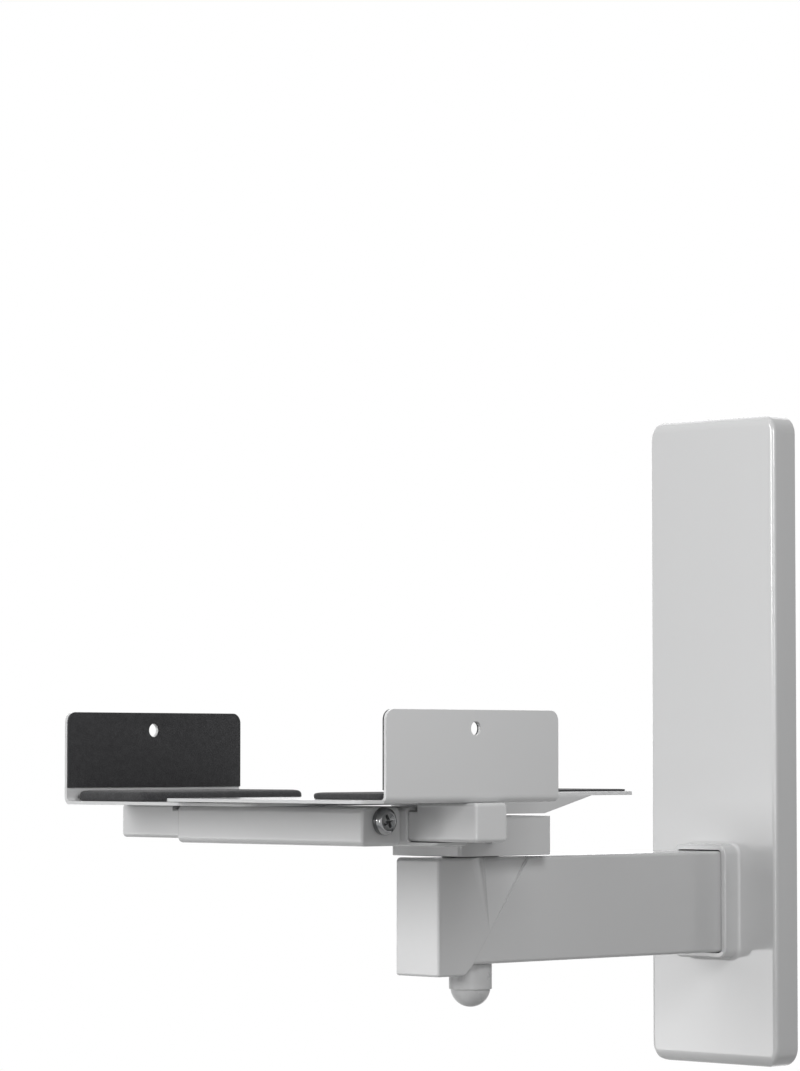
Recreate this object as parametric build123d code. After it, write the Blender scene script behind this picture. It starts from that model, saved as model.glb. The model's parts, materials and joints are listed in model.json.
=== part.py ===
from build123d import *
import os

# Wall bracket for a loudspeaker: wall plate and cover, arm, swivel head, tilting cradle, side clamp.
# Millimetres. The origin is on the wall, in the middle of the cover's back. X runs to the right
# along the wall, Y runs into the wall and Z is up, so the bracket stands out along -Y.

# Fits
running_gap = 0.06
seat_gap = 0.05
rest_gap = 0.3
slide_gap = 0.3

# Cover with its collar
cover_width = 70.0
cover_height = 275.0
cover_depth = 13.8
cover_wall = 2.2
cover_corner = 8.0
cover_edge = 2.0
cover_end_round = 5.0
collar_reach = 8.9
collar_wall = 2.2
collar_gap = 0.5
collar_root = 1.4
collar_lip = 0.8
rib_from_end = 37.5
rib_thickness = 2.0
rib_reach = 3.5

# Wall plate
wall_plate_thickness = 3.0
wall_plate_gap = 0.6
wall_plate_corner = 5.0
wall_hole_radius = 3.25
wall_hole_from_side = 17.0
wall_hole_from_end = 15.0

# Arm and its foot
arm_width = 24.0
arm_height = 42.4
arm_wall = 2.0
arm_corner = 1.5
arm_above_base = 69.3
foot_side = 11.0
foot_rise = 20.0
foot_thickness = 4.0
foot_corner = 4.0
foot_bolt_radius = 3.0
foot_bolt_across = 10.0
foot_bolt_head = 4.0
foot_bolt_from_side = 7.0
foot_bolt_from_end = 9.0

# Nose block at the front of the arm
swivel_reach = 161.5
nose_reach = 30.2
nose_lip = 4.3
lip_setback = 4.8
nose_edge = 1.0
seam_behind = 22.0
seam_ahead = 10.9
pocket_ahead = 12.7
pocket_depth = 4.2
pocket_sweep = 0.3
pocket_height = 30.0
pocket_step = 1.7
spigot_length = 22.0
spigot_gap = 0.1

# Swivel joint
swivel_bolt_radius = 4.0
swivel_bolt_across = 13.0
swivel_bolt_head = 5.3
swivel_gap = 0.6
disc_radius = 11.5
seat_radius = 7.2
seat_thickness = 1.0
spring_radius = 7.0
spring_thickness = 1.0
spring_rise = 0.4
swivel_nut_height = 6.5
bolt_tail = 2.5
cap_radius = 8.6
cap_bore_radius = 7.65
cap_length = 17.2
cap_dome = 6.6
cap_groove_width = 0.65
cap_groove_depth = 0.7

# Swivel head
head_width = 39.2
head_ahead = 25.5
head_behind = 27.0
head_height = 15.6
head_wall = 2.5
head_floor = 3.0
head_corner = 2.0
head_inner_corner = 1.0
head_edge = 0.4

# Tilt joint
tilt_ahead = 14.5
tilt_below_rim = 4.5
tilt_bolt_radius = 3.0
tilt_bolt_across = 10.0
tilt_bolt_head = 4.0
tilt_nut_height = 6.0
tilt_tail = 1.2
spacer_radius = 4.5
washer_radius = 5.4
washer_thickness = 0.5

# Cradle, folded from one sheet
cradle_sheet = 1.6
cradle_bend = 1.0
cradle_side_gap = 0.8
saddle_above_head = 9.7
saddle_behind = 74.1
saddle_front = 22.5
saddle_corner = 3.0
flange_above_head = 1.1
flange_behind = 20.1
slant_behind = 48.0
lobe_radius = 5.5
beam_above_tilt = 7.4
tab_height = 11.0
tab_reach = 20.0
rail_screw_radius = 2.0
rail_screw_head_radius = 3.75
rail_screw_head = 2.6
rail_screw_first = 6.0
rail_screw_pitch = 9.0
foam = 0.8

# Rails
rail_ahead = 82.7
rail_length = 104.4
rail_shift = 8.2
rail_depth = 20.6
rail_height = 14.7
rail_below_saddle = 5.0
rail_wall = 1.4
rail_end_wall = 3.0
rail_corner = 2.4
rail_bore_corner = 0.8
rail_end_round = 1.2
notch_past_end = 2.5
notch_corner = 2.0

# Draw screws
draw_radius = 2.0
draw_rise = 2.1
draw_reach = 82.0
draw_head_radius = 5.2
draw_head_height = 3.6
draw_head_round = 1.7
draw_recess_length = 5.4
draw_recess_width = 1.2
draw_recess_depth = 1.7
clip_radius = 3.3
clip_thickness = 0.8
clip_groove = 0.5
insert_radius = 2.8
insert_length = 6.0

# Sliders
slider_behind_ear = 87.4
right_past_ear = 2.6
left_past_ear = 1.0
right_travel_in = 3.4
left_travel_in = 17.5
travel_spare = 1.0
slider_round = 1.6
slider_bore_radius = 2.3
slider_bore_spare = 3.0

# Clamp plates with their ears
right_ear = 79.4
left_ear = 94.6
clamp_sheet = 1.3
clamp_bend = 1.5
plate_reach = 107.4
plate_ahead = 14.0
plate_corner = 4.0
ear_length = 92.2
ear_behind = 49.4
ear_above_rest = 30.8
ear_corner = 4.0
ear_hole_radius = 2.65
ear_hole_below_top = 7.0
ear_hole_from_back = 45.1
ear_relief = 1.2
plate_screw_radius = 2.0
plate_screw_length = 8.0
plate_screw_spread = 9.0
plate_screw_inset = 8.5
base_pad_width = 41.0
base_pad_margin = 3.0
ear_pad_thickness = 0.8
ear_pad_lift = 1.0

# Heights and places that follow
wall_holes_across = cover_width - 2 * wall_hole_from_side
wall_holes_up = cover_height - 2 * wall_hole_from_end
arm_middle = arm_above_base - cover_height / 2
arm_top = arm_middle + arm_height / 2
arm_bottom = arm_middle - arm_height / 2
nose_bottom = arm_bottom - nose_lip
foot_width = arm_width + 2 * foot_side
foot_height = arm_height + 2 * foot_rise
foot_bolts_across = foot_width - 2 * foot_bolt_from_side
foot_bolts_up = foot_height - 2 * foot_bolt_from_end
foot_front = wall_plate_thickness + foot_thickness
swivel_y = -swivel_reach
head_bottom = arm_top + swivel_gap
head_top = head_bottom + head_height
head_front = swivel_y - head_ahead
head_back = swivel_y + head_behind
tilt_y = swivel_y - tilt_ahead
tilt_z = head_top - tilt_below_rim
flange_inside = head_width / 2 + cradle_side_gap
flange_outside = flange_inside + cradle_sheet
saddle_top = head_top + saddle_above_head
rest_level = saddle_top + foam
rail_middle_y = swivel_y - rail_ahead
rail_top = saddle_top - rail_below_saddle
rail_middle_z = rail_top - rail_height / 2
rail_closed = rail_shift - rail_length / 2
rail_open = rail_shift + rail_length / 2
bore_middle_y = rail_middle_y + rail_depth / 2
draw_z = rail_middle_z + draw_rise
rail_back = rail_middle_y + rail_depth
left_level = rail_top + slide_gap
right_level = left_level + clamp_sheet + slide_gap
slider_half_depth = rail_depth / 2 - rail_wall - slide_gap
slider_half_height = rail_height / 2 - rail_wall - slide_gap
draw_tip = rail_closed + draw_reach
notch_start = notch_past_end - rail_closed
ear_back = rail_middle_y + ear_behind
ear_front = ear_back - ear_length
plate_front = ear_front - plate_ahead
ear_top = rest_level + ear_above_rest
plate_screw_head_radius = plate_screw_radius + clamp_sheet - seat_gap
hole_y = ear_back - ear_hole_from_back
hole_z = ear_top - ear_hole_below_top


def block(x, y, z):
    """Box between the low and high value on each axis."""
    size = Box(x[1] - x[0], y[1] - y[0], z[1] - z[0])
    return Pos((x[0] + x[1]) / 2, (y[0] + y[1]) / 2, (z[0] + z[1]) / 2) * size


def rod(x, y, z, radius, length):
    """Cylinder along X that starts at the given point."""
    low = (Align.CENTER, Align.CENTER, Align.MIN)
    return Pos(x, y, z) * Rot(0, 90, 0) * Cylinder(radius, length, align=low)


def post(x, y, z, radius, length):
    """Cylinder that stands on the given point."""
    low = (Align.CENTER, Align.CENTER, Align.MIN)
    return Pos(x, y, z) * Cylinder(radius, length, align=low)


def stud(x, y, z, radius, length):
    """Cylinder that starts at the given point and comes out towards -Y."""
    low = (Align.CENTER, Align.CENTER, Align.MIN)
    return Pos(x, y, z) * Rot(90, 0, 0) * Cylinder(radius, length, align=low)


def rounded_outline(corners):
    """Face with the given corners, each with its own radius."""
    face = Polygon(*[(u, v) for u, v, _ in corners], align=None)
    for u, v, radius in corners:
        if radius:
            face = fillet(face.vertices().sort_by_distance((u, v, 0))[0], radius)
    return face


def side_plate(corners, half_width):
    """Outline in Y and Z, as thick as twice the given half width."""
    return extrude(Plane.YZ * rounded_outline(corners), half_width, both=True)


def hexagon(across, height, ends=1):
    """Hexagonal head along Z from the origin, its corners turned down at the far end or at both ends."""
    corner = across * 0.58
    flat = across * 0.47
    drop = (corner - flat) / 2
    foot = drop * (ends - 1)
    section = Polygon(
        (0, 0),
        (corner if ends == 1 else flat, 0),
        (corner, foot),
        (corner, height - drop),
        (flat, height),
        (0, height),
        align=None,
    )
    return extrude(RegularPolygon(across / 2, 6, major_radius=False), height) & revolve(Plane.XZ * section, Axis.Z)


def edges_along(shape, axis, **place):
    """Edges along an axis whose middle is at the given x, y or z."""
    found = shape.edges().filter_by(axis)
    for name, value in place.items():
        found = found.filter_by(lambda e: abs(getattr(e.center(), name.upper()) - value) < 0.01)
    return found


def turned(shape):
    """The same piece on the other side of the clamp, half a turn about its upright middle line."""
    return Pos(0, rail_middle_y, 0) * Rot(0, 0, 180) * Pos(0, -rail_middle_y, 0) * shape


def seam_y(z):
    """Place of the slanted joint between arm and nose at a height."""
    return swivel_y + seam_behind - (arm_top - z) * (seam_behind + seam_ahead) / arm_height


# Wall side


def rounded_ends(depth, height, radius):
    """Side profile of the cover, rounded at the front of its upper and lower end."""
    corners = [
        (0, -height / 2, 0),
        (0, height / 2, 0),
        (-depth, height / 2, radius),
        (-depth, -height / 2, radius),
    ]
    return side_plate(corners, cover_width)


def cover():
    """Moulded cover: a hollow tall plate with a collar round the arm."""
    collar_width = arm_width + 2 * (collar_gap + collar_wall)
    collar_height = arm_height + 2 * (collar_gap + collar_wall)
    collar_corner = arm_corner + collar_gap + collar_wall
    shell = extrude(Plane.XZ * RectangleRounded(cover_width, cover_height, cover_corner), cover_depth)
    shell = fillet(shell.faces().sort_by(Axis.Y)[0].edges(), cover_edge)
    shell &= rounded_ends(cover_depth, cover_height, cover_end_round)
    collar_face = Pos(0, arm_middle) * RectangleRounded(collar_width, collar_height, collar_corner)
    collar = extrude(Plane.XZ.offset(cover_depth - cover_wall) * collar_face, cover_wall + collar_reach)
    shell += fillet(collar.faces().sort_by(Axis.Y)[0].edges(), collar_lip)
    root = [
        edge
        for edge in shell.edges()
        if abs(edge.center().Y + cover_depth) < 0.01
        and abs(edge.center().X) < collar_width / 2 + 0.01
        and abs(edge.center().Z - arm_middle) < collar_height / 2 + 0.01
    ]
    shell = fillet(root, collar_root)
    inner_width = cover_width - 2 * cover_wall
    inner_height = cover_height - 2 * cover_wall
    inside = Plane.XZ * RectangleRounded(inner_width, inner_height, cover_corner - cover_wall)
    hollow = extrude(inside, cover_depth - cover_wall)
    hollow &= rounded_ends(cover_depth - cover_wall, inner_height, cover_end_round - cover_wall)
    window = RectangleRounded(arm_width + 2 * collar_gap, arm_height + 2 * collar_gap, arm_corner + collar_gap)
    tip = inner_width / 2 - rib_reach
    rib_place = cover_height / 2 - rib_from_end
    for middle in (-rib_place, 0, rib_place):
        for ends in ((-cover_width / 2, -tip), (tip, cover_width / 2)):
            hollow -= block(
                ends,
                (-cover_depth, -wall_plate_thickness),
                (middle - rib_thickness / 2, middle + rib_thickness / 2),
            )
    shell -= hollow
    return shell - extrude(Plane.XZ * Pos(0, arm_middle) * window, cover_depth + collar_reach)


def corner_points(across, up, middle):
    """The four corners of a bolt rectangle, as X and Z."""
    return [(sx * across / 2, middle + sz * up / 2) for sx in (-1, 1) for sz in (-1, 1)]


def wall_plate():
    """Steel plate behind the cover, with wall-screw holes and threaded holes for the foot."""
    width = cover_width - 2 * (cover_wall + wall_plate_gap)
    height = cover_height - 2 * (cover_wall + wall_plate_gap)
    plate = extrude(Plane.XZ * RectangleRounded(width, height, wall_plate_corner), wall_plate_thickness)
    for x, z in corner_points(wall_holes_across, wall_holes_up, 0):
        plate -= stud(x, 0, z, wall_hole_radius, wall_plate_thickness)
    for x, z in corner_points(foot_bolts_across, foot_bolts_up, arm_middle):
        plate -= stud(x, 0, z, foot_bolt_radius + seat_gap, wall_plate_thickness)
    return plate


def arm_foot():
    """Flange at the wall end of the arm."""
    face = Plane.XZ.offset(wall_plate_thickness) * Pos(0, arm_middle)
    foot = extrude(face * RectangleRounded(foot_width, foot_height, foot_corner), foot_thickness)
    for x, z in corner_points(foot_bolts_across, foot_bolts_up, arm_middle):
        foot -= stud(x, 0, z, foot_bolt_radius + seat_gap, foot_front)
    return foot


def foot_bolts():
    """Hexagon bolts through the foot into the wall plate."""
    bolts = []
    for x, z in corner_points(foot_bolts_across, foot_bolts_up, arm_middle):
        head = Pos(x, -foot_front, z) * Rot(90, 0, 0) * hexagon(foot_bolt_across, foot_bolt_head)
        bolts.append(head + stud(x, 0, z, foot_bolt_radius, foot_front))
    return bolts


def arm_tube():
    """Rectangular tube from the foot to the slanted joint with the nose."""
    inner = RectangleRounded(arm_width - 2 * arm_wall, arm_height - 2 * arm_wall, arm_corner / 2)
    section = RectangleRounded(arm_width, arm_height, arm_corner) - inner
    length = swivel_reach + nose_reach - foot_front
    tube = extrude(Plane.XZ.offset(foot_front) * Pos(0, arm_middle) * section, length)
    high = arm_top + arm_wall
    low = arm_bottom - arm_wall
    behind = [(seam_y(high), high, 0), (0, high, 0), (0, low, 0), (seam_y(low), low, 0)]
    tube &= side_plate(behind, arm_width)
    return tube - post(0, swivel_y, arm_bottom, swivel_bolt_radius + rest_gap, arm_wall)


def nose_pocket(side):
    """Scoop in a cheek of the nose: a curved front wall, a crease on the swivel line, a flat rear facet."""
    half = arm_width / 2
    overlap = 1.0
    outside = side * (half + overlap)
    tip_z = arm_top - pocket_height
    start = (outside, swivel_y - pocket_ahead)
    rim = (side * half, swivel_y - pocket_ahead)
    crease = (side * (half - pocket_depth), swivel_y)
    end = (side * (half - pocket_step), seam_y(arm_top) + overlap)
    bend = (side * (half - pocket_sweep * pocket_depth), swivel_y - pocket_ahead / 2)
    lines = [
        Line(start, rim),
        ThreePointArc(rim, bend, crease),
        Line(crease, end),
        Line(end, (outside, end[1])),
        Line((outside, end[1]), start),
    ]
    top = Pos(0, 0, arm_top) * make_face(lines)
    return loft([top, Vertex(side * half, seam_y(tip_z), tip_z)], ruled=True)


def arm_nose():
    """Cast block at the arm's end, with a lip below, a slanted back and a spigot in the tube."""
    front = swivel_y - nose_reach
    lip_back = seam_y(arm_bottom) - lip_setback
    outline = [
        (front, arm_top, 0),
        (front, nose_bottom, 0),
        (lip_back, nose_bottom, 0),
        (seam_y(arm_bottom), arm_bottom, 0),
        (seam_y(arm_top), arm_top, 0),
    ]
    nose = side_plate(outline, arm_width / 2)
    nose = fillet(edges_along(nose, Axis.Z, y=front), nose_edge)
    nose = fillet(edges_along(nose, Axis.Y, z=arm_top), arm_corner)
    nose = fillet(nose.faces().sort_by(Axis.Z)[0].edges().filter_by(Axis.Y), nose_edge)
    for side in (-1, 1):
        nose -= nose_pocket(side)
    high = arm_top - arm_wall - spigot_gap
    low = arm_bottom + arm_wall + spigot_gap
    core = [
        (seam_y(high), high, 0),
        (seam_y(low), low, 0),
        (seam_y(low) + spigot_length, low, 0),
        (seam_y(high) + spigot_length, high, 0),
    ]
    spigot = side_plate(core, arm_width / 2 - arm_wall - spigot_gap)
    spigot = fillet(spigot.edges().filter_by(Axis.Y), arm_corner / 2)
    nose += spigot
    return nose - post(0, swivel_y, nose_bottom, swivel_bolt_radius + running_gap, arm_top - nose_bottom)


# Swivel joint


def ring(z, outer, inner, thickness):
    """Flat ring on the swivel line."""
    return post(0, swivel_y, z, outer, thickness) - post(0, swivel_y, z, inner, thickness)


def swivel_disc():
    """Friction disc between the nose and the head."""
    return ring(arm_top, disc_radius, swivel_bolt_radius + rest_gap, swivel_gap - rest_gap)


def swivel_head():
    """Open box that turns on the nose and carries the tilt bolt."""
    half = head_width / 2
    head = block((-half, half), (head_front, head_back), (head_bottom, head_top))
    head = fillet(head.edges().filter_by(Axis.Z), head_corner)
    head = fillet(head.faces().sort_by(Axis.Z)[0].edges(), head_edge)
    inner = half - head_wall
    inside = block((-inner, inner), (head_front + head_wall, head_back - head_wall), (head_bottom + head_floor, head_top))
    head -= fillet(inside.edges().filter_by(Axis.Z), head_inner_corner)
    head -= post(0, swivel_y, head_bottom, swivel_bolt_radius + seat_gap, head_floor)
    return head - rod(-head_width / 2, tilt_y, tilt_z, tilt_bolt_radius + seat_gap, head_width)


spring_top = arm_bottom - seat_thickness - rest_gap
nut_top = spring_top - spring_thickness - spring_rise
nut_bottom = nut_top - swivel_nut_height


def swivel_bolt():
    """Hexagon bolt through head, nose and arm."""
    seat = head_bottom + head_floor
    head = Pos(0, swivel_y, seat) * hexagon(swivel_bolt_across, swivel_bolt_head)
    tail = nut_bottom - bolt_tail
    return head + post(0, swivel_y, tail, swivel_bolt_radius, seat - tail)


def swivel_seat():
    """Plain washer under the arm."""
    return ring(arm_bottom - seat_thickness, seat_radius, swivel_bolt_radius + rest_gap, seat_thickness)


def swivel_spring():
    """Disc spring: a shallow cone ring on the nut."""
    inner = swivel_bolt_radius + 2 * seat_gap
    section = Polygon(
        (inner, nut_top + spring_rise),
        (inner, nut_top + spring_rise + spring_thickness),
        (spring_radius, nut_top + spring_thickness),
        (spring_radius, nut_top),
        align=None,
    )
    return Pos(0, swivel_y, 0) * revolve(Plane.XZ * section, Axis.Z)


def swivel_nut():
    """Nut below the disc spring."""
    nut = Pos(0, swivel_y, nut_bottom) * hexagon(swivel_bolt_across, swivel_nut_height, 2)
    return nut - post(0, swivel_y, nut_bottom, swivel_bolt_radius + seat_gap, swivel_nut_height)


def nut_cap():
    """Domed cap over the nut, with a groove above the dome."""
    top = arm_bottom - rest_gap
    bottom = top - cap_length
    shoulder = bottom + cap_dome
    groove_top = shoulder + cap_groove_width
    rim = cap_radius - cap_groove_depth
    outline = [
        Line((0, top), (cap_radius, top)),
        Line((cap_radius, top), (cap_radius, groove_top)),
        Line((cap_radius, groove_top), (rim, groove_top)),
        Line((rim, groove_top), (rim, shoulder)),
        TangentArc((0, bottom), (rim, shoulder), tangent=(1, 0)),
        Line((0, bottom), (0, top)),
    ]
    cap = revolve(Plane.XZ * make_face(outline), Axis.Z)
    cap -= Pos(0, 0, nut_bottom) * Cylinder(
        cap_bore_radius, top - nut_bottom, align=(Align.CENTER, Align.CENTER, Align.MIN)
    )
    tail = nut_bottom - bolt_tail - rest_gap
    cap -= Pos(0, 0, tail) * Cylinder(
        swivel_bolt_radius + rest_gap, top - tail, align=(Align.CENTER, Align.CENTER, Align.MIN)
    )
    return Pos(0, swivel_y, 0) * cap


# Tilt joint


def cradle():
    """Saddle folded from one sheet: top, two side flanges with pivot lobes, two front tabs."""
    lowest = tilt_z - lobe_radius
    rear = swivel_y + saddle_behind
    saddle_bottom = saddle_top - cradle_sheet
    bend_outside = cradle_bend + cradle_sheet
    tab_back = rail_back + cradle_sheet
    leg_start = tab_back + 4 * bend_outside
    tab_low = rail_middle_z - tab_height / 2
    tab_high = rail_middle_z + tab_height / 2
    beam_top = tilt_z + beam_above_tilt
    flange_low = head_top + flange_above_head
    lobe_back = tilt_y + lobe_radius
    web_front = swivel_y - saddle_front
    outer = rounded_outline([
        (-flange_outside, lowest, 0),
        (flange_outside, lowest, 0),
        (flange_outside, saddle_top, bend_outside),
        (-flange_outside, saddle_top, bend_outside),
    ])
    inner = rounded_outline([
        (-flange_inside, lowest, 0),
        (flange_inside, lowest, 0),
        (flange_inside, saddle_bottom, cradle_bend),
        (-flange_inside, saddle_bottom, cradle_bend),
    ])
    fold = extrude(Plane.XZ.offset(-rear) * (outer - inner), rear - tab_back)
    side = [
        (rear, saddle_top, 0),
        (web_front, saddle_top, 0),
        (web_front, beam_top, bend_outside),
        (leg_start, tab_high, 0),
        (leg_start, tab_low, 0),
        (tilt_y - lobe_radius, lowest, 0),
        (lobe_back, lowest, 0.98 * lobe_radius),
        (lobe_back, flange_low, cradle_sheet),
        (swivel_y + flange_behind, flange_low, cradle_sheet),
        (swivel_y + slant_behind, saddle_bottom, bend_outside),
        (rear, saddle_bottom, 0),
    ]
    plan = rounded_outline([
        (-flange_outside, tab_back, 0),
        (flange_outside, tab_back, 0),
        (flange_outside, rear, saddle_corner),
        (-flange_outside, rear, saddle_corner),
    ])
    saddle = fold & side_plate(side, flange_outside)
    saddle &= extrude(Plane.XY.offset(lowest) * plan, saddle_top - lowest)
    end = tab_end()
    tab = rounded_outline([
        (flange_inside, leg_start + cradle_sheet, 0),
        (flange_inside, rail_back, bend_outside),
        (end, rail_back, 0),
        (end, tab_back, 0),
        (flange_outside, tab_back, cradle_bend),
        (flange_outside, leg_start + cradle_sheet, 0),
    ])
    leg = extrude(Plane.XY.offset(tab_low) * tab, tab_high - tab_low)
    leg = fillet(edges_along(leg, Axis.Y, x=end), bend_outside)
    saddle += leg + mirror(leg, Plane.YZ)
    for x in rail_screw_places():
        saddle -= stud(x, tab_back, rail_middle_z, rail_screw_radius + seat_gap, cradle_sheet)
    hole = rod(-flange_outside, tilt_y, tilt_z, tilt_bolt_radius + running_gap, 2 * flange_outside)
    return saddle - hole


def tab_end():
    """Outer end of a cradle tab."""
    return flange_outside + tab_reach


def rail_screw_places():
    """X places of the screws through the cradle tabs."""
    first = flange_outside + rail_screw_first
    return [side * (first + step * rail_screw_pitch) for side in (-1, 1) for step in (0, 1)]


def cradle_pad():
    """Thin foam strip on the saddle."""
    half = flange_outside - cradle_bend - cradle_sheet
    length = (swivel_y - saddle_front + cradle_sheet, swivel_y + saddle_behind - cradle_sheet)
    pad = block((-half, half), length, (saddle_top, rest_level))
    return fillet(pad.edges().filter_by(Axis.Z), cradle_bend + cradle_sheet)


def tilt_bolt():
    """Hexagon bolt across the head and the cradle flanges."""
    face = flange_outside + rest_gap
    head = Pos(face, tilt_y, tilt_z) * Rot(0, 90, 0) * hexagon(tilt_bolt_across, tilt_bolt_head)
    tail = -face - tilt_nut_height - tilt_tail
    return head + rod(tail, tilt_y, tilt_z, tilt_bolt_radius, face - tail)


def tilt_nut():
    """Lock nut on the tilt bolt."""
    start = -flange_outside - rest_gap - tilt_nut_height
    nut = Pos(start, tilt_y, tilt_z) * Rot(0, 90, 0) * hexagon(tilt_bolt_across, tilt_nut_height, 2)
    return nut - rod(start, tilt_y, tilt_z, tilt_bolt_radius + seat_gap, tilt_nut_height)


def tilt_spacer():
    """Tube that keeps the head's walls apart."""
    half = head_width / 2 - head_wall
    tube = rod(-half, tilt_y, tilt_z, spacer_radius, 2 * half)
    return tube - rod(-half, tilt_y, tilt_z, tilt_bolt_radius + seat_gap, 2 * half)


def tilt_washers():
    """Friction washers between the head and the flanges."""
    washers = []
    for start in (head_width / 2, -head_width / 2 - washer_thickness):
        plate = rod(start, tilt_y, tilt_z, washer_radius, washer_thickness)
        washers.append(plate - rod(start, tilt_y, tilt_z, tilt_bolt_radius + seat_gap, washer_thickness))
    return washers


# Rails and draw screws


def rail():
    """Channel of the right clamp: closed at the left end, cut away in front and above at its mouth."""
    high = (rail_top - rail_height, rail_top)
    channel = block((rail_closed, rail_open), (rail_middle_y, rail_back), high)
    channel = fillet(channel.edges().filter_by(Axis.X), rail_corner)
    channel = fillet(channel.faces().sort_by(Axis.X)[0].edges(), rail_end_round)
    channel = fillet(channel.faces().sort_by(Axis.X)[-1].edges(), rail_end_round)
    bore = block(
        (rail_closed + rail_end_wall, rail_open),
        (rail_middle_y + rail_wall, rail_back - rail_wall),
        (high[0] + rail_wall, high[1] - rail_wall),
    )
    channel -= fillet(bore.edges().filter_by(Axis.X), rail_bore_corner)
    notch = block(
        (notch_start, rail_open),
        (rail_middle_y, rail_back - rail_wall),
        (high[0] + rail_wall, high[1]),
    )
    channel -= fillet(edges_along(notch, Axis.Y, x=notch_start, z=high[0] + rail_wall), notch_corner)
    return channel - rod(rail_closed, bore_middle_y, draw_z, draw_radius + running_gap, rail_end_wall)


def rear_rail():
    """The right clamp's channel, with threaded holes for the screws through the cradle tabs."""
    channel = rail()
    for x in rail_screw_places():
        channel -= stud(x, rail_back, rail_middle_z, rail_screw_radius + seat_gap, rail_wall)
    return channel


def rail_screws():
    """Pan-head screws through the cradle tabs into the rear rail."""
    screws = []
    tab_back = rail_back + cradle_sheet
    for x in rail_screw_places():
        head = stud(x, tab_back + rail_screw_head, rail_middle_z, rail_screw_head_radius, rail_screw_head)
        head = fillet(head.faces().sort_by(Axis.Y)[-1].edges(), rail_screw_head / 2)
        screws.append(head + stud(x, tab_back, rail_middle_z, rail_screw_radius, cradle_sheet + rail_wall))
    return screws


clip_start = rail_closed + rail_end_wall + rest_gap


def draw_screw():
    """Pan-head screw in the closed end of the right clamp's channel."""
    under = rail_closed - rest_gap
    head = rod(under - draw_head_height, bore_middle_y, draw_z, draw_head_radius, draw_head_height)
    head = fillet(head.faces().sort_by(Axis.X)[0].edges(), draw_head_round)
    half = draw_recess_length / 2
    slim = draw_recess_width / 2
    deep = (under - draw_head_height, under - draw_head_height + draw_recess_depth)
    for wide, tall in ((half, slim), (slim, half)):
        head -= block(
            deep,
            (bore_middle_y - wide, bore_middle_y + wide),
            (draw_z - tall, draw_z + tall),
        )
    shank = rod(under, bore_middle_y, draw_z, draw_radius, rest_gap + draw_reach)
    neck = rod(clip_start, bore_middle_y, draw_z, clip_radius, clip_thickness)
    neck -= rod(clip_start, bore_middle_y, draw_z, draw_radius - clip_groove, clip_thickness)
    return head + shank - neck


def screw_clip():
    """Retaining clip in the groove of the draw screw."""
    inner = draw_radius - clip_groove + seat_gap
    start = clip_start + seat_gap
    thickness = clip_thickness - 2 * seat_gap
    clip = rod(start, bore_middle_y, draw_z, clip_radius, thickness)
    clip -= rod(start, bore_middle_y, draw_z, inner, thickness)
    mouth = block(
        (start, start + thickness),
        (bore_middle_y - inner, bore_middle_y + inner),
        (draw_z - clip_radius, draw_z),
    )
    return clip - mouth


# Clamp pieces, drawn for the right side; the left side is the same piece turned round


def slider(ear, level, past_ear, travel_in):
    """Bar that slides in the channel, with a raised end that carries the clamp plate."""
    end = ear + past_ear
    start = ear - slider_behind_ear
    step = notch_start + travel_in + travel_spare
    depth = (bore_middle_y - slider_half_depth, bore_middle_y + slider_half_depth)
    low = rail_middle_z - slider_half_height
    high = rail_middle_z + slider_half_height
    outline = Plane.XZ.offset(-depth[1]) * rounded_outline([
        (start, low, 0),
        (end, low, 0),
        (end, level, 0),
        (step, level, 0),
        (step, high, 0),
        (start, high, 0),
    ])
    bar = extrude(outline, depth[1] - depth[0])
    rounded = bar.faces().sort_by(Axis.X)[-1].edges()
    rounded += edges_along(bar, Axis.X, z=low) + edges_along(bar, Axis.X, z=level)
    bar = fillet(rounded, slider_round)
    bar = fillet(edges_along(bar, Axis.X, z=high), rail_bore_corner)
    bore_depth = draw_tip - start + travel_in + slider_bore_spare
    bar -= rod(start, bore_middle_y, draw_z, slider_bore_radius, bore_depth)
    bar -= rod(start, bore_middle_y, draw_z, insert_radius + seat_gap, insert_length)
    for y in plate_screw_places():
        bottom = level - plate_screw_length
        bar -= post(ear - plate_screw_inset, y, bottom, plate_screw_radius + seat_gap, plate_screw_length)
    return bar


def plate_screw_places():
    """Y places of the two screws that hold a clamp plate to its slider."""
    return [bore_middle_y + side * plate_screw_spread / 2 for side in (-1, 1)]


def slider_insert(ear):
    """Threaded insert in the inner end of a slider."""
    start = ear - slider_behind_ear
    sleeve = rod(start, bore_middle_y, draw_z, insert_radius, insert_length)
    return sleeve - rod(start, bore_middle_y, draw_z, draw_radius + running_gap, insert_length)


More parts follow.
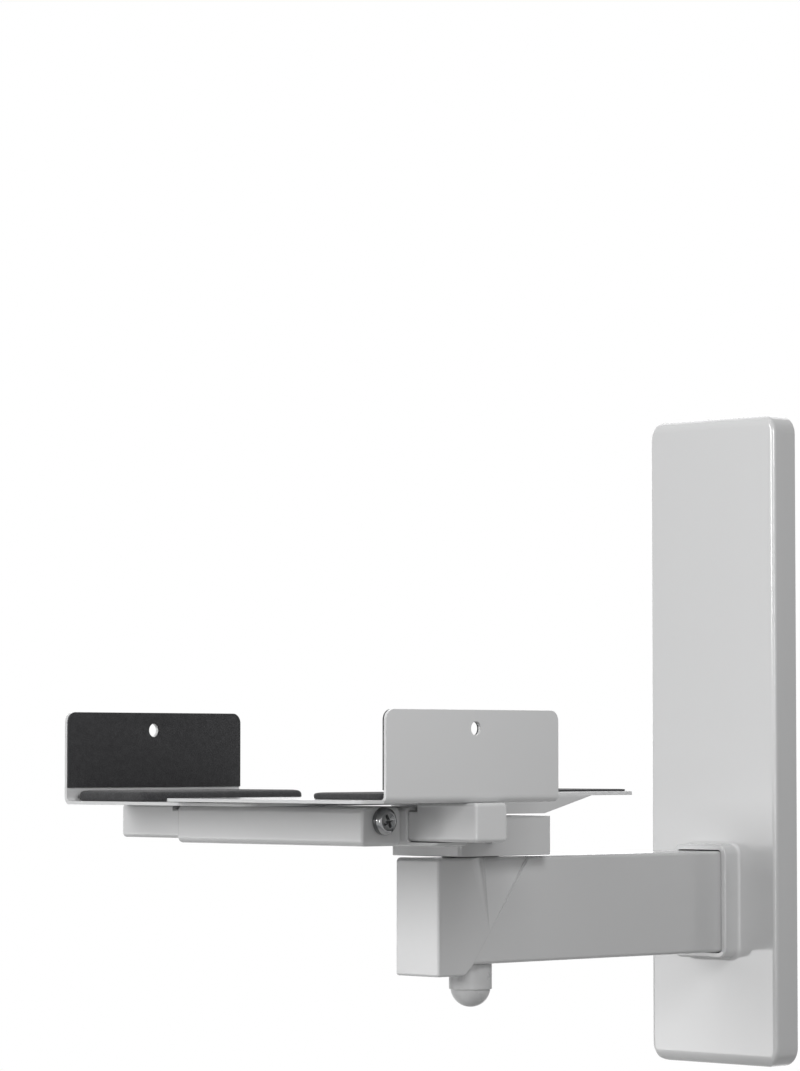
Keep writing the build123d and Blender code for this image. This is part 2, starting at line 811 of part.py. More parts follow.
def clamp_plate(ear, level):
    """Sheet plate with one edge folded up as an ear; the plate runs on past the ear's front end."""
    inner_end = ear - plate_reach
    top_face = level + clamp_sheet
    bend_outside = clamp_bend + clamp_sheet
    fold = rounded_outline([
        (inner_end, level, 0),
        (ear, level, bend_outside),
        (ear, ear_top, 0),
        (ear - clamp_sheet, ear_top, 0),
        (ear - clamp_sheet, top_face, clamp_bend),
        (inner_end, top_face, 0),
    ])
    plate = extrude(Plane.XZ.offset(-ear_back) * fold, ear_length)
    plate = fillet(edges_along(plate, Axis.X, z=ear_top), ear_corner)
    apron = block((inner_end, ear), (plate_front, ear_front + clamp_sheet), (level, top_face))
    relief = block((ear - 2 * bend_outside, ear), (ear_front - ear_relief, ear_front + clamp_sheet), (level, top_face))
    plate += apron - relief
    plate = fillet(edges_along(plate, Axis.Z, y=plate_front), plate_corner)
    plate = fillet(edges_along(plate, Axis.Z, x=inner_end), plate_corner)
    plate -= rod(ear - clamp_sheet, hole_y, hole_z, ear_hole_radius, clamp_sheet)
    for y in plate_screw_places():
        plate -= countersunk(ear - plate_screw_inset, y, top_face, seat_gap, clamp_sheet)
    return plate


def countersunk(x, y, z, gap, length):
    """Countersunk screw whose flat head lies at a height, grown by a gap."""
    head = plate_screw_head_radius + gap
    shank = plate_screw_radius + gap
    top = Cone(shank, head, head - shank, align=(Align.CENTER, Align.CENTER, Align.MAX))
    return Pos(x, y, z) * top + post(x, y, z - length, shank, length)


def plate_screws(ear, level):
    """Two countersunk screws through a clamp plate into its slider."""
    top_face = level + clamp_sheet
    places = plate_screw_places()
    return [countersunk(ear - plate_screw_inset, y, top_face, 0, plate_screw_length) for y in places]


def base_pad(ear, level):
    """Foam pad on a clamp plate, up to the resting level."""
    outer = ear - base_pad_margin
    depth = (ear_front + base_pad_margin, ear_back - base_pad_margin)
    pad = block((outer - base_pad_width, outer), depth, (level + clamp_sheet, rest_level))
    return fillet(pad.edges().filter_by(Axis.Z), plate_corner)


def ear_pad(ear):
    """Foam pad inside an ear, with the ear's hole through it."""
    face = ear - clamp_sheet
    pad = block((face - ear_pad_thickness, face), (ear_front, ear_back), (rest_level + ear_pad_lift, ear_top))
    pad = fillet(edges_along(pad, Axis.X, z=ear_top), ear_corner)
    return pad - rod(face - ear_pad_thickness, hole_y, hole_z, ear_hole_radius, ear_pad_thickness)


def group(solids):
    """Separate solids kept together as one piece of hardware."""
    return Compound(children=solids)


def group_turned(solids):
    """The group on the other side of the clamp."""
    return group([turned(solid) for solid in solids])


pieces = {
    "wall_plate": wall_plate(),
    "cover": cover(),
    "arm_foot": arm_foot(),
    "foot_bolts": group(foot_bolts()),
    "arm_tube": arm_tube(),
    "arm_nose": arm_nose(),
    "swivel_disc": swivel_disc(),
    "swivel_seat": swivel_seat(),
    "swivel_head": swivel_head(),
    "swivel_bolt": swivel_bolt(),
    "swivel_spring": swivel_spring(),
    "swivel_nut": swivel_nut(),
    "nut_cap": nut_cap(),
    "tilt_bolt": tilt_bolt(),
    "tilt_nut": tilt_nut(),
    "tilt_spacer": tilt_spacer(),
    "tilt_washers": group(tilt_washers()),
    "cradle": cradle(),
    "cradle_pad": cradle_pad(),
    "rail_screws": group(rail_screws()),
    "rear_rail": rear_rail(),
    "front_rail": turned(rail()),
    "rear_screw": draw_screw(),
    "front_screw": turned(draw_screw()),
    "rear_clip": screw_clip(),
    "front_clip": turned(screw_clip()),
    "right_slider": slider(right_ear, right_level, right_past_ear, right_travel_in),
    "left_slider": turned(slider(left_ear, left_level, left_past_ear, left_travel_in)),
    "right_insert": slider_insert(right_ear),
    "left_insert": turned(slider_insert(left_ear)),
    "right_plate": clamp_plate(right_ear, right_level),
    "left_plate": turned(clamp_plate(left_ear, left_level)),
    "right_plate_screws": group(plate_screws(right_ear, right_level)),
    "left_plate_screws": group_turned(plate_screws(left_ear, left_level)),
    "right_base_pad": base_pad(right_ear, right_level),
    "left_base_pad": turned(base_pad(left_ear, left_level)),
    "right_ear_pad": ear_pad(right_ear),
    "left_ear_pad": turned(ear_pad(left_ear)),
}

os.makedirs("parts", exist_ok=True)
for name, piece in pieces.items():
    export_step(piece, f"parts/{name}.step")
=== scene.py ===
import json
import math

import bmesh
import bpy
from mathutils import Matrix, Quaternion, Vector


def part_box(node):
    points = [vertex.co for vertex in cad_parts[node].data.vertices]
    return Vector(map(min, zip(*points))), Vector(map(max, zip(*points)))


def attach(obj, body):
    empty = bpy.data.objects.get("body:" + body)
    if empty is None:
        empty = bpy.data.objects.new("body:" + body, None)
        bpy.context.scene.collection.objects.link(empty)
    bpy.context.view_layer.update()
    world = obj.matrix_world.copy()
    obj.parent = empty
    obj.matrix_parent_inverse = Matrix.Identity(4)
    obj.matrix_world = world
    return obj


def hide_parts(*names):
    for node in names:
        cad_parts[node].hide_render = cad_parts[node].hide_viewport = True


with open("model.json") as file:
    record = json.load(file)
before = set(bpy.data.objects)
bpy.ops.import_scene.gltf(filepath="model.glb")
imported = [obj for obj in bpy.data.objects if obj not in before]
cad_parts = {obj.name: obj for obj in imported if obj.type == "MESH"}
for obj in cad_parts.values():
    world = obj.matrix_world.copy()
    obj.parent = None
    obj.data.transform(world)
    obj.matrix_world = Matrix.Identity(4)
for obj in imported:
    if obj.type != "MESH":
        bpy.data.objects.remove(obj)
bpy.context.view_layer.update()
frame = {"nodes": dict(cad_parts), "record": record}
nodes = frame["nodes"]
record = frame["record"]

MM = 0.001
X_AXIS = Vector((1, 0, 0))
Y_AXIS = Vector((0, 1, 0))
Z_AXIS = Vector((0, 0, 1))

# How close counts as lined up, as the cosine of an angle, and as being in one plane
LINED_UP = 0.999
IN_PLANE = 0.1 * MM

# How far a cutter stands past what it cuts
CUT_PAST = 1.0 * MM

# Foam pads: shares are of the thickness, the band is a share of the corner and the steps are of the crown
PAD_CORNER = 4.0 * MM
STRIP_CORNER = 2.6 * MM
PAD_ROUND_SHARE = 0.3
PAD_CROWN_SHARE = 0.16
PAD_CROWN_BAND = 0.45
PAD_CROWN_STEPS = (0.7, 0.3)

# Pan heads: the shares of the rounding and of the flat top that make the crown, and the tip's taper
CROWN_SHARE = 0.12
CROWN_BAND = 0.45
CROWN_RISE = 0.7
TIP_TAPER = 0.8

# Cross recesses: the floor's length and width are shares of the mouth's
RECESS_PAST = 0.3 * MM
RECESS_FLOOR_LENGTH = 0.5
RECESS_FLOOR_WIDTH = 0.75

# Draw screws
DRAW_HEAD_HEIGHT = 3.6 * MM
DRAW_HEAD_ROUND = 1.9 * MM
DRAW_SHANK_RADIUS = 2.0 * MM
DRAW_GROOVE_AFTER = 3.6 * MM
DRAW_GROOVE_WIDTH = 0.8 * MM
DRAW_GROOVE_DEPTH = 0.5 * MM
DRAW_TIP = 0.6 * MM
DRAW_RECESS = (5.8 * MM, 1.5 * MM, 2.6 * MM)
DRAW_RECESS_TURN = 25
DRAW_EDGE = 0.09 * MM

# Rail screws
RAIL_SCREW_HEAD_HEIGHT = 2.6 * MM
RAIL_SCREW_HEAD_RADIUS = 3.75 * MM
RAIL_SCREW_HEAD_ROUND = 1.3 * MM
RAIL_SCREW_SHANK_RADIUS = 2.0 * MM
RAIL_SCREW_PITCH = 9.0 * MM
RAIL_SCREW_TIP = 0.3 * MM
RAIL_SCREW_RECESS = (4.2 * MM, 1.0 * MM, 1.6 * MM)
RAIL_SCREW_RECESS_TURN = 0
RAIL_SCREW_EDGE = 0.07 * MM

# Lock nut of the tilt bolt: shares of its width across the flats, its height, its collar and its ring's seat
LOCK_TURNED_SHARE = 0.58
LOCK_CHAMFER_SHARE = 0.1
LOCK_NECK_SHARE = 0.43
LOCK_NECK_TAPER = 0.92
LOCK_COLLAR_SHARE = 0.27
LOCK_SEAT_SHARE = 0.6
LOCK_RING_SHARE = 0.8
LOCK_RING_RADIUS = 3.75 * MM
LOCK_BORE_RADIUS = 3.05 * MM
LOCK_NUT_EDGE = 0.1 * MM
LOCK_RING_EDGE = 0.1 * MM

# Stage and camera, in metres and, for the lens, millimetres
BRACKET_MIDDLE = (0, -0.15, -0.05)
FLOOR_MIDDLE = (0, -0.15, -1.5)
FLOOR_RADIUS = 2.6
FLOOR_OWN_LIGHT = 0.6
ROOM_LIGHT = 0.06
CAMERA_PLACE = (1.1571, -1.3492, -0.0058)
CAMERA_AIM = (-0.0198, -0.1815, 0.0817)
CAMERA_LENS = 138.8
CAMERA_SENSOR = 36.0


# Hand tools


def deselect():
    """Leaves edit mode with nothing selected."""
    if bpy.context.mode != "OBJECT":
        bpy.ops.object.mode_set(mode="OBJECT")
    bpy.ops.object.select_all(action="DESELECT")


def take(piece):
    """Makes a piece the only selected and active one."""
    deselect()
    piece.select_set(True)
    bpy.context.view_layer.objects.active = piece


def added(name):
    """Names the primitive or copy that was just added and settles its place into its mesh."""
    piece = bpy.context.object
    piece.name = name
    piece.data.name = name
    bpy.ops.object.transform_apply(location=True, rotation=True, scale=True)
    return piece


def add_block(name, low, high):
    """Block between two corners."""
    deselect()
    bpy.ops.mesh.primitive_cube_add(size=1.0, location=(low + high) / 2, scale=high - low)
    return added(name)


def add_drum(name, start, axis, radius, length, sides=64):
    """Drum that starts at a point and runs along an axis."""
    deselect()
    turn = axis.to_track_quat("Z", "Y").to_euler()
    bpy.ops.mesh.primitive_cylinder_add(
        vertices=sides, radius=radius, depth=length, location=start + axis * length / 2, rotation=turn
    )
    return added(name)


def edit(piece):
    """Opens a piece's mesh."""
    take(piece)
    bpy.ops.object.mode_set(mode="EDIT")


def close():
    """Closes the open mesh."""
    bpy.ops.object.mode_set(mode="OBJECT")


def pick(piece, kind, test):
    """Selects the edges or faces of an open mesh that pass a test."""
    bpy.ops.mesh.select_mode(type=kind)
    bpy.ops.mesh.select_all(action="DESELECT")
    mesh = bmesh.from_edit_mesh(piece.data)
    mesh.normal_update()
    for item in {"EDGE": mesh.edges, "FACE": mesh.faces}[kind]:
        if test(item):
            item.select_set(True)
    mesh.select_flush_mode()
    bmesh.update_edit_mesh(piece.data)


def middle(item):
    """Middle of an edge or a face."""
    return sum((v.co for v in item.verts), Vector()) / len(item.verts)


def runs_along(edge, axis):
    """Whether an edge runs along an axis."""
    line = edge.verts[1].co - edge.verts[0].co
    return abs(line.normalized().dot(axis)) > LINED_UP


def looks_along(face, axis):
    """Whether a face looks along an axis."""
    return face.normal.dot(axis) > LINED_UP


def push(move, amount=None):
    """Extrudes the selected faces by a move, then may scale them about their own middle."""
    bpy.ops.mesh.extrude_region_move(TRANSFORM_OT_translate={"value": move})
    if amount is not None:
        bpy.ops.transform.resize(value=(amount, amount, amount))


def finish_with(piece, kind, **settings):
    """Adds a modifier and applies it."""
    take(piece)
    modifier = piece.modifiers.new(kind.lower(), kind)
    for name, value in settings.items():
        setattr(modifier, name, value)
    bpy.ops.object.modifier_apply(modifier=modifier.name)


def combine(piece, tool, operation):
    """Cuts a tool out of a piece, keeps what they share or joins the tool on, then throws the tool away."""
    finish_with(piece, "BOOLEAN", operation=operation, solver="EXACT", object=tool)
    bpy.data.objects.remove(tool, do_unlink=True)


def cut_with(piece, tool):
    """Cuts a tool out of a piece."""
    combine(piece, tool, "DIFFERENCE")


def round_edges(piece, width, degrees, segments=2, **settings):
    """Rounds every edge that bends by more than an angle."""
    limit = math.radians(degrees)
    finish_with(
        piece, "BEVEL", width=width, segments=segments, limit_method="ANGLE", angle_limit=limit, **settings
    )


def smooth(piece, degrees):
    """Smooth shading, with the edges that bend by more than an angle kept sharp."""
    take(piece)
    bpy.ops.object.shade_smooth_by_angle(angle=math.radians(degrees))


def paint(piece, finish):
    """Gives a piece one finish."""
    piece.data.materials.clear()
    piece.data.materials.append(finish)


def fit_out(piece, node, body, slot):
    """Puts a finished piece in the place of a node, on its body and with its slot's finish."""
    paint(piece, finishes[slot])
    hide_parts(node)
    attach(piece, body)


def corners_of(node):
    """Lowest and highest corner of a node."""
    low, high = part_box(node)
    return Vector(low), Vector(high)


# Finishes


def new_finish(name):
    """Empty node material with its shader and its piece's own coordinates."""
    finish = bpy.data.materials.new(name)
    finish.use_nodes = True
    tree = finish.node_tree
    shader = tree.nodes["Principled BSDF"]
    place = tree.nodes.new("ShaderNodeTexCoord")
    return finish, tree, shader, place.outputs["Object"]


def noise(tree, place, scale, detail=3.0, rough=0.5):
    """Noise on the piece's own coordinates, in cycles a metre."""
    node = tree.nodes.new("ShaderNodeTexNoise")
    node.inputs["Scale"].default_value = scale
    node.inputs["Detail"].default_value = detail
    node.inputs["Roughness"].default_value = rough
    tree.links.new(place, node.inputs["Vector"])
    return node.outputs["Fac"]


def cells(tree, place, scale, output="Distance"):
    """Cell pattern on the piece's own coordinates, in cells a metre."""
    node = tree.nodes.new("ShaderNodeTexVoronoi")
    node.inputs["Scale"].default_value = scale
    tree.links.new(place, node.inputs["Vector"])
    return node.outputs[output]


def stretched(tree, place, factors):
    """Coordinates stretched along the axes."""
    node = tree.nodes.new("ShaderNodeMapping")
    node.inputs["Scale"].default_value = factors
    tree.links.new(place, node.inputs["Vector"])
    return node.outputs["Vector"]


def ramp(tree, value, low, high, first, last):
    """Colour that goes from the first to the last as a value goes from low to high."""
    node = tree.nodes.new("ShaderNodeValToRGB")
    node.color_ramp.elements[0].position = low
    node.color_ramp.elements[0].color = (*first, 1)
    node.color_ramp.elements[1].position = high
    node.color_ramp.elements[1].color = (*last, 1)
    tree.links.new(value, node.inputs["Fac"])
    return node.outputs["Color"]


def spread(tree, value, low, high):
    """Brings the middle part of a 0 to 1 value into a range."""
    node = tree.nodes.new("ShaderNodeMapRange")
    node.inputs["From Min"].default_value = 0.3
    node.inputs["From Max"].default_value = 0.7
    node.inputs["To Min"].default_value = low
    node.inputs["To Max"].default_value = high
    tree.links.new(value, node.inputs["Value"])
    return node.outputs["Result"]


def softened_edges(tree, radius):
    """Normal that rounds off sharp edges by a small radius, as a coat of paint does."""
    node = tree.nodes.new("ShaderNodeBevel")
    node.samples = 6
    node.inputs["Radius"].default_value = radius
    return node.outputs["Normal"]


def relief(tree, height, strength, distance, normal=None):
    """Bump from a height, on top of another normal if one is given."""
    node = tree.nodes.new("ShaderNodeBump")
    node.inputs["Strength"].default_value = strength
    node.inputs["Distance"].default_value = distance
    tree.links.new(height, node.inputs["Height"])
    if normal is not None:
        tree.links.new(normal, node.inputs["Normal"])
    return node.outputs["Normal"]


def lay_on(tree, shader, tone, roughness, surface):
    """Feeds a finish's colour, roughness and normal to its shader."""
    tree.links.new(tone, shader.inputs["Base Color"])
    tree.links.new(roughness, shader.inputs["Roughness"])
    tree.links.new(surface, shader.inputs["Normal"])


def powder_coat(name, peel, peel_height, edge):
    """Semi-gloss white powder coat with an orange peel, in dimples a metre, that rounds edges off."""
    finish, tree, shader, place = new_finish(name)
    dark, light = (0.758, 0.761, 0.764), (0.766, 0.768, 0.771)
    tone = ramp(tree, noise(tree, place, 1800.0, 3.0, 0.6), 0.25, 0.75, dark, light)
    gloss = spread(tree, noise(tree, place, 900.0, 4.0), 0.2, 0.24)
    surface = relief(tree, noise(tree, place, peel, 1.0), 0.05, peel_height, softened_edges(tree, edge))
    lay_on(tree, shader, tone, gloss, surface)
    shader.inputs["Coat Weight"].default_value = 0.4
    shader.inputs["Coat Roughness"].default_value = 0.08
    return finish


def cover_gloss():
    """Gloss moulded cover: slow waves from the mould's cooling and a very fine grain."""
    finish, tree, shader, place = new_finish("cover_gloss")
    dark, light = (0.76, 0.763, 0.766), (0.768, 0.77, 0.772)
    tone = ramp(tree, noise(tree, place, 1500.0, 3.0, 0.6), 0.25, 0.75, dark, light)
    gloss = spread(tree, noise(tree, place, 700.0, 4.0), 0.12, 0.15)
    waves = relief(tree, noise(tree, place, 22.0, 1.0), 0.1, 0.6 * MM, softened_edges(tree, 0.25 * MM))
    grain = relief(tree, noise(tree, place, 1600.0, 2.0), 0.05, 0.1 * MM, waves)
    lay_on(tree, shader, tone, gloss, grain)
    shader.inputs["IOR"].default_value = 1.52
    shader.inputs["Coat Weight"].default_value = 0.8
    shader.inputs["Coat Roughness"].default_value = 0.11
    return finish


def cap_satin():
    """Satin moulded cap with a fine spark-eroded texture."""
    finish, tree, shader, place = new_finish("cap_satin")
    dark, light = (0.73, 0.733, 0.735), (0.76, 0.762, 0.764)
    tone = ramp(tree, noise(tree, place, 150.0, 4.0), 0.35, 0.7, dark, light)
    gloss = spread(tree, noise(tree, place, 300.0, 4.0), 0.26, 0.36)
    texture = relief(tree, noise(tree, place, 2600.0, 3.0), 0.1, 0.1 * MM, softened_edges(tree, 0.2 * MM))
    lay_on(tree, shader, tone, gloss, texture)
    return finish


def zinc_with_painted_dark_reflection():
    """Zinc plate on screws and bolts, with faint drawing lines and a thin uneven passivation; its colour is
    kept dark as a painted reflection of dark surroundings.
    """
    finish, tree, shader, place = new_finish("zinc_with_painted_dark_reflection")
    # Dark base colour is painted reflection of dark surroundings; the spread between the two tones is random
    # passivation
    dark, light = (0.2, 0.206, 0.215), (0.36, 0.36, 0.355)
    tone = ramp(tree, noise(tree, place, 260.0, 5.0, 0.6), 0.3, 0.72, dark, light)
    lines = noise(tree, stretched(tree, place, (0.15, 1.0, 1.0)), 2400.0, 4.0)
    surface = relief(tree, lines, 0.06, 0.05 * MM, softened_edges(tree, 0.15 * MM))
    lay_on(tree, shader, tone, spread(tree, lines, 0.06, 0.14), surface)
    shader.inputs["Metallic"].default_value = 1.0
    return finish


def dull_zinc():
    """Zinc-dipped sheet with a soft spangle."""
    finish, tree, shader, place = new_finish("dull_zinc")
    spangle = cells(tree, place, 130.0, "Color")
    dark, light = (0.45, 0.46, 0.47), (0.52, 0.53, 0.54)
    tone = ramp(tree, spangle, 0.1, 0.9, dark, light)
    surface = relief(tree, noise(tree, place, 500.0, 4.0), 0.12, 0.1 * MM, softened_edges(tree, 0.25 * MM))
    lay_on(tree, shader, tone, spread(tree, spangle, 0.38, 0.45), surface)
    shader.inputs["Metallic"].default_value = 1.0
    return finish


def cell_foam():
    """Black closed-cell foam: cut cells about a third of a millimetre wide."""
    finish, tree, shader, place = new_finish("cell_foam")
    pores = cells(tree, place, 2600.0)
    dark, light = (0.012, 0.012, 0.013), (0.045, 0.045, 0.048)
    tone = ramp(tree, pores, 0.1, 0.7, dark, light)
    dullness = spread(tree, noise(tree, place, 400.0, 4.0), 0.78, 0.95)
    slow = relief(tree, noise(tree, place, 160.0, 3.0), 0.25, 0.4 * MM)
    lay_on(tree, shader, tone, dullness, relief(tree, pores, 0.5, 0.2 * MM, slow))
    shader.inputs["Sheen Weight"].default_value = 0.15
    return finish


def ring_nylon():
    """Dark moulded nylon of the friction rings."""
    finish, tree, shader, place = new_finish("ring_nylon")
    dark, light = (0.035, 0.036, 0.038), (0.06, 0.06, 0.062)
    tone = ramp(tree, noise(tree, place, 500.0, 4.0), 0.3, 0.7, dark, light)
    dullness = spread(tree, noise(tree, place, 900.0, 4.0), 0.4, 0.55)
    lay_on(tree, shader, tone, dullness, relief(tree, noise(tree, place, 3000.0, 3.0), 0.1, 0.08 * MM))
    return finish


finishes = {
    "white_paint": powder_coat("sheet_coat", peel=950.0, peel_height=0.16 * MM, edge=0.35 * MM),
    "cover_white": cover_gloss(),
    "cap_white": cap_satin(),
    "plated_steel": zinc_with_painted_dark_reflection(),
    "bare_steel": dull_zinc(),
    "foam": cell_foam(),
    "friction_ring": ring_nylon(),
}
for row in record["subparts"]:
    paint(nodes[row["node"]], finishes[row["material_slot"]])
cast_coat = powder_coat("cast_coat", peel=620.0, peel_height=0.22 * MM, edge=0.4 * MM)
paint(nodes["arm_nose"], cast_coat)


# Foam pads


def soft_edges(pad, thickness):
    """Rounds every edge of a pad by a share of its thickness."""
    round_edges(pad, PAD_ROUND_SHARE * thickness, 40, segments=4, loop_slide=False)
    smooth(pad, 50)


def flat_pad(node, body, corner):
    """Die-cut foam pad: rounded corners, and a top that falls away towards its rim."""
    low, high = corners_of(node)
    thickness = high.z - low.z
    drop = PAD_CROWN_SHARE * thickness
    pad = add_block(f"{node}_foam", low, high - Z_AXIS * drop)
    edit(pad)
    pick(pad, "EDGE", lambda e: runs_along(e, Z_AXIS))
    bpy.ops.mesh.bevel(offset=corner, segments=8, affect="EDGES")
    pick(pad, "FACE", lambda f: looks_along(f, Z_AXIS))
    for share in PAD_CROWN_STEPS:
        bpy.ops.mesh.inset(thickness=PAD_CROWN_BAND * corner)
        bpy.ops.transform.translate(value=Z_AXIS * share * drop)
    close()
    soft_edges(pad, thickness)
    fit_out(pad, node, body, "foam")


def ear_pad(side):
    """Foam sheet inside an ear, cut to the ear's rounded top, with the ear's hole through it."""
    node = f"{side}_ear_pad"
    low, high = corners_of(node)
    thickness = high.x - low.x
    pad = add_block(f"{node}_foam", low, high)
    edit(pad)
    pick(pad, "EDGE", lambda e: runs_along(e, X_AXIS) and middle(e).z > high.z - IN_PLANE)
    bpy.ops.mesh.bevel(offset=PAD_CORNER, segments=8, affect="EDGES")
    close()
    hole = next(m for m in record["mounts"] if m["name"] == f"{side}_ear_hole")
    radius = hole["dims"]["r_mm"] * MM
    start = Vector(hole["pos_m"])
    start.x = low.x - CUT_PAST
    cut_with(pad, add_drum("punch", start, X_AXIS, radius, thickness + 2 * CUT_PAST, sides=40))
    soft_edges(pad, thickness)
    fit_out(pad, node, f"{side}_clamp", "foam")


flat_pad("cradle_pad", "cradle", STRIP_CORNER)
for side in ("right", "left"):
    flat_pad(f"{side}_base_pad", f"{side}_clamp", PAD_CORNER)
    ear_pad(side)


# Screws and lock nut


def cross_recess(screw, top, axis, turn, wing, width, depth):
    """Sinks a cross recess with tapered wings into a screw's head, turned about its axis by some degrees."""
    upright = axis.to_track_quat("Z", "Y")
    half = Vector((wing / 2, width / 2, 0))
    for angle in (turn, turn + 90):
        wedge = add_block("recess", -half - Z_AXIS * depth, half + Z_AXIS * RECESS_PAST)
        edit(wedge)
        pick(wedge, "FACE", lambda f: looks_along(f, -Z_AXIS))
        bpy.ops.transform.resize(value=(RECESS_FLOOR_LENGTH, RECESS_FLOOR_WIDTH, 1))
        close()
        wedge.rotation_euler = (upright @ Quaternion(Z_AXIS, math.radians(angle))).to_euler()
        wedge.location = top
        cut_with(screw, wedge)


def pan_head(name, top, axis, radius, height, round_over, shank):
    """Pan-head screw from the middle of its top and an axis that points out of the head.

    The shank is a list of lengths with their radii, from the head to the tip.
    """
    screw = add_drum(name, top - axis * height, axis, radius, height)
    edit(screw)
    pick(screw, "EDGE", lambda e: (middle(e) - top).dot(axis) > -IN_PLANE)
    bpy.ops.mesh.bevel(offset=round_over, segments=8, affect="EDGES")
    pick(screw, "FACE", lambda f: looks_along(f, axis))
    crown = CROWN_SHARE * round_over
    bpy.ops.transform.translate(value=-axis * crown)
    bpy.ops.mesh.inset(thickness=CROWN_BAND * (radius - round_over), depth=CROWN_RISE * crown)
    pick(screw, "FACE", lambda f: looks_along(f, -axis))
    now = shank[0][1]
    bpy.ops.mesh.inset(thickness=radius - now)
    for length, wanted in shank:
        if wanted != now:
            push((0, 0, 0), wanted / now)
            now = wanted
        push(-axis * length)
    bpy.ops.transform.resize(value=(TIP_TAPER, TIP_TAPER, TIP_TAPER))
    close()
    return screw


def draw_screw(side):
    """Screw that draws a clamp in: a broad pan head, a groove for its clip and a long shank."""
    node = f"{side}_screw"
    low, high = corners_of(node)
    length = high.x - low.x
    head = ((high.y - low.y) / 2, DRAW_HEAD_HEIGHT, DRAW_HEAD_ROUND)
    axis = X_AXIS if side == "front" else -X_AXIS
    top = (low + high) / 2 + axis * length / 2
    groove_end = DRAW_HEAD_HEIGHT + DRAW_GROOVE_AFTER + DRAW_GROOVE_WIDTH
    shank = [
        (DRAW_GROOVE_AFTER, DRAW_SHANK_RADIUS),
        (DRAW_GROOVE_WIDTH, DRAW_SHANK_RADIUS - DRAW_GROOVE_DEPTH),
        (length - groove_end - DRAW_TIP, DRAW_SHANK_RADIUS),
        (DRAW_TIP, DRAW_SHANK_RADIUS),
    ]
    screw = pan_head(f"{node}_cross_head", top, axis, *head, shank)
    cross_recess(screw, top, axis, DRAW_RECESS_TURN, *DRAW_RECESS)
    round_edges(screw, DRAW_EDGE, 45)
    smooth(screw, 40)
    fit_out(screw, node, node, "plated_steel")


def rail_screw_set():
    """Four pan-head screws through the cradle's tabs: one is modelled, the others are copies of it."""
    low, high = corners_of("rail_screws")
    first = high.x - RAIL_SCREW_HEAD_RADIUS
    top = Vector((first, high.y, (low.z + high.z) / 2))
    reach = high.y - low.y - RAIL_SCREW_HEAD_HEIGHT
    shank = [(reach - RAIL_SCREW_TIP, RAIL_SCREW_SHANK_RADIUS), (RAIL_SCREW_TIP, RAIL_SCREW_SHANK_RADIUS)]
    head = (RAIL_SCREW_HEAD_RADIUS, RAIL_SCREW_HEAD_HEIGHT, RAIL_SCREW_HEAD_ROUND)
    model = pan_head("rail_screw_1", top, Y_AXIS, *head, shank)
    cross_recess(model, top, Y_AXIS, RAIL_SCREW_RECESS_TURN, *RAIL_SCREW_RECESS)
    round_edges(model, RAIL_SCREW_EDGE, 45)
    smooth(model, 40)
    screws = [model]
    for number, place in ((2, first - RAIL_SCREW_PITCH), (3, RAIL_SCREW_PITCH - first), (4, -first)):
        take(model)
        bpy.ops.object.duplicate(linked=False)
        bpy.context.object.location.x = place - first
        screws.append(added(f"rail_screw_{number}"))
    for screw in screws:
        fit_out(screw, "rail_screws", "cradle", "plated_steel")


def lock_nut():
    """Lock nut on the tilt bolt: a hexagon with turned-down corners, and a collar with a nylon ring in it."""
    low, high = corners_of("tilt_nut")
    out = -X_AXIS
    height = high.x - low.x
    across = high.y - low.y
    start = (low + high) / 2 - out * height / 2
    collar = LOCK_COLLAR_SHARE * height
    nut = add_drum("tilt_lock_nut", start, out, across / math.sqrt(3), height - collar, sides=6)
    turning = add_drum("turning", start, out, LOCK_TURNED_SHARE * across, height - collar)
    edit(turning)
    pick(turning, "EDGE", lambda e: not runs_along(e, out))
    bpy.ops.mesh.bevel(offset=LOCK_CHAMFER_SHARE * across, segments=1, affect="EDGES")
    close()
    combine(nut, turning, "INTERSECT")
    neck = add_drum("neck", start + out * height / 2, out, LOCK_NECK_SHARE * across, height / 2)
    edit(neck)
    pick(neck, "FACE", lambda f: looks_along(f, out))
    bpy.ops.transform.resize(value=(1, LOCK_NECK_TAPER, LOCK_NECK_TAPER))
    close()
    combine(nut, neck, "UNION")
    bore_start = start - out * CUT_PAST
    cut_with(nut, add_drum("bore", bore_start, out, LOCK_BORE_RADIUS, height + 2 * CUT_PAST))
    seat_depth = LOCK_SEAT_SHARE * collar
    seat = start + out * (height - seat_depth)
    cut_with(nut, add_drum("ring_seat", seat, out, LOCK_RING_RADIUS, seat_depth + CUT_PAST))
    round_edges(nut, LOCK_NUT_EDGE, 28)
    smooth(nut, 35)
    fit_out(nut, "tilt_nut", "head", "plated_steel")
    ring = add_drum("tilt_lock_ring", seat, out, LOCK_RING_RADIUS, LOCK_RING_SHARE * seat_depth)
    bore_start = seat - out * CUT_PAST
    cut_with(ring, add_drum("ring_bore", bore_start, out, LOCK_BORE_RADIUS, seat_depth + 2 * CUT_PAST))
    round_edges(ring, LOCK_RING_EDGE, 40)
    smooth(ring, 40)
    fit_out(ring, "tilt_nut", "head", "cap_white")


for side in ("front", "rear"):
    draw_screw(side)
rail_screw_set()
lock_nut()


# Stage, light and camera


def seen_directly(tree):
    """1 for rays from the camera, a mirror or clear glass, and 0 for rays that light the pieces."""
    path = tree.nodes.new("ShaderNodeLightPath")
    seen = path.outputs["Is Camera Ray"]
    for kind in ("Is Glossy Ray", "Is Transmission Ray"):
        either = tree.nodes.new("ShaderNodeMath")
        either.operation = "MAXIMUM"
        tree.links.new(seen, either.inputs[0])
        tree.links.new(path.outputs[kind], either.inputs[1])
        seen = either.outputs[0]
    return seen


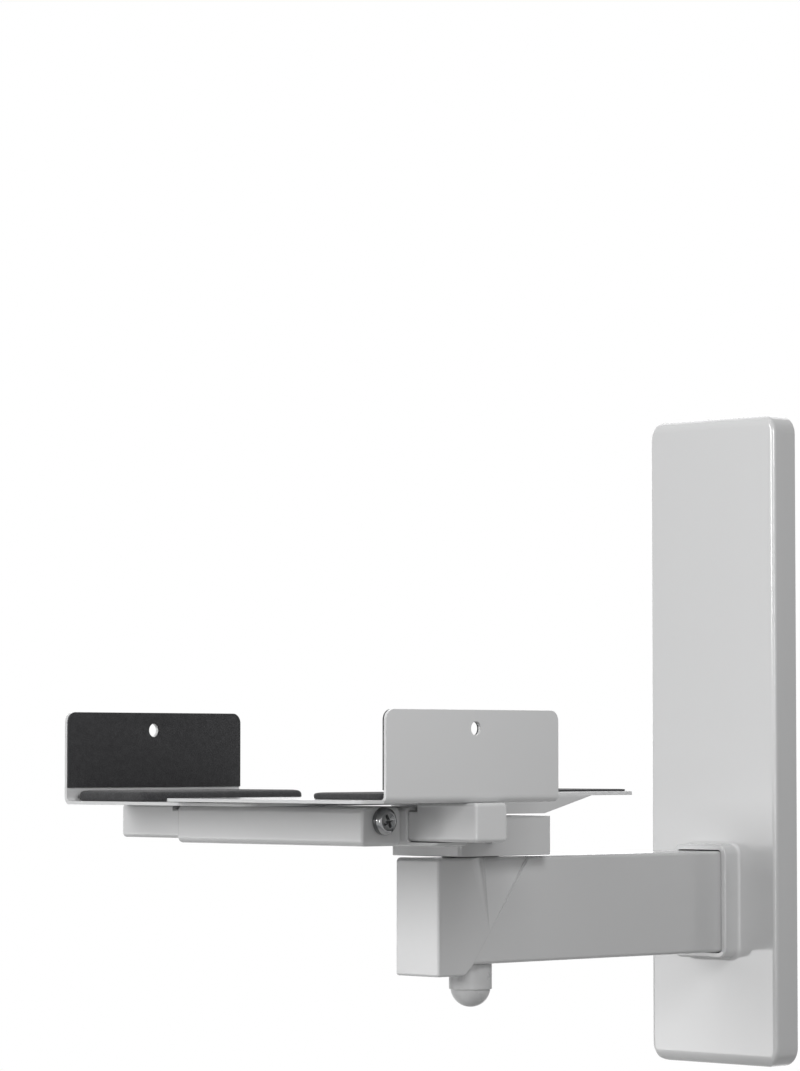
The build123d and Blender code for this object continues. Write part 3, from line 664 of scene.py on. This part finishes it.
def floor():
    """Round pale floor well below the bracket, with some light of its own where it is seen."""
    deselect()
    bpy.ops.mesh.primitive_circle_add(
        vertices=96, radius=FLOOR_RADIUS, fill_type="NGON", location=FLOOR_MIDDLE
    )
    piece = added("floor")
    finish, tree, shader, place = new_finish("floor_pale")
    dark, light = (0.8, 0.8, 0.8), (0.82, 0.82, 0.82)
    tone = ramp(tree, noise(tree, place, 3.0, 3.0), 0.3, 0.7, dark, light)
    tree.links.new(tone, shader.inputs["Base Color"])
    shader.inputs["Roughness"].default_value = 0.8
    pale = tree.nodes.new("ShaderNodeEmission")
    pale.inputs["Color"].default_value = (0.86, 0.86, 0.86, 1)
    share = tree.nodes.new("ShaderNodeMath")
    share.operation = "MULTIPLY"
    share.inputs[1].default_value = FLOOR_OWN_LIGHT
    tree.links.new(seen_directly(tree), share.inputs[0])
    mix = tree.nodes.new("ShaderNodeMixShader")
    tree.links.new(share.outputs[0], mix.inputs[0])
    tree.links.new(shader.outputs[0], mix.inputs[1])
    tree.links.new(pale.outputs[0], mix.inputs[2])
    tree.links.new(mix.outputs[0], tree.nodes["Material Output"].inputs["Surface"])
    paint(piece, finish)


def white_room():
    """White background, and a much weaker white light from all round."""
    world = bpy.data.worlds.new("white_room")
    bpy.context.scene.world = world
    world.use_nodes = True
    tree = world.node_tree
    back = tree.nodes["Background"]
    back.inputs["Color"].default_value = (1, 1, 1, 1)
    level = tree.nodes.new("ShaderNodeMapRange")
    level.inputs["To Min"].default_value = ROOM_LIGHT
    level.inputs["To Max"].default_value = 1.0
    tree.links.new(seen_directly(tree), level.inputs["Value"])
    tree.links.new(level.outputs["Result"], back.inputs["Strength"])


def aimed(name, data, place, aim):
    """Puts a lamp or camera at a place, pointing at another."""
    holder = bpy.data.objects.new(name, data)
    bpy.context.scene.collection.objects.link(holder)
    holder.location = place
    holder.rotation_mode = "QUATERNION"
    holder.rotation_quaternion = (Vector(aim) - Vector(place)).to_track_quat("-Z", "Y")
    return holder


def softbox(name, place, size, power):
    """Rectangular soft lamp that points at the bracket, in metres and watts."""
    lamp = bpy.data.lights.new(name, "AREA")
    lamp.shape = "RECTANGLE"
    lamp.size, lamp.size_y = size
    lamp.energy = power
    aimed(name, lamp, place, BRACKET_MIDDLE)


def photo_camera():
    """Camera level with the bracket, at its front right."""
    lens = bpy.data.cameras.new("photo_camera")
    lens.lens = CAMERA_LENS
    lens.sensor_width = CAMERA_SENSOR
    lens.clip_start = 0.05
    bpy.context.scene.camera = aimed("photo_camera", lens, CAMERA_PLACE, CAMERA_AIM)


bpy.context.scene.view_settings.view_transform = "Standard"
floor()
white_room()
softbox("key_light", place=(-0.5, -2.05, 0.5), size=(0.8, 0.8), power=18.5)
softbox("fill_light", place=(0.52, -0.42, 0.27), size=(0.25, 0.25), power=1.45)
softbox("low_light", place=(-1.6, -1.75, -0.32), size=(0.9, 0.42), power=3.0)
softbox("edge_light", place=(1.3, -1.2, 0.06), size=(0.14, 0.55), power=2.4)
softbox("rear_light", place=(-1.1, 0.9, 0.75), size=(1.8, 1.8), power=7.0)
softbox("top_light", place=(0.0, -0.2, 1.7), size=(1.2, 1.2), power=6.0)
photo_camera()

deselect()
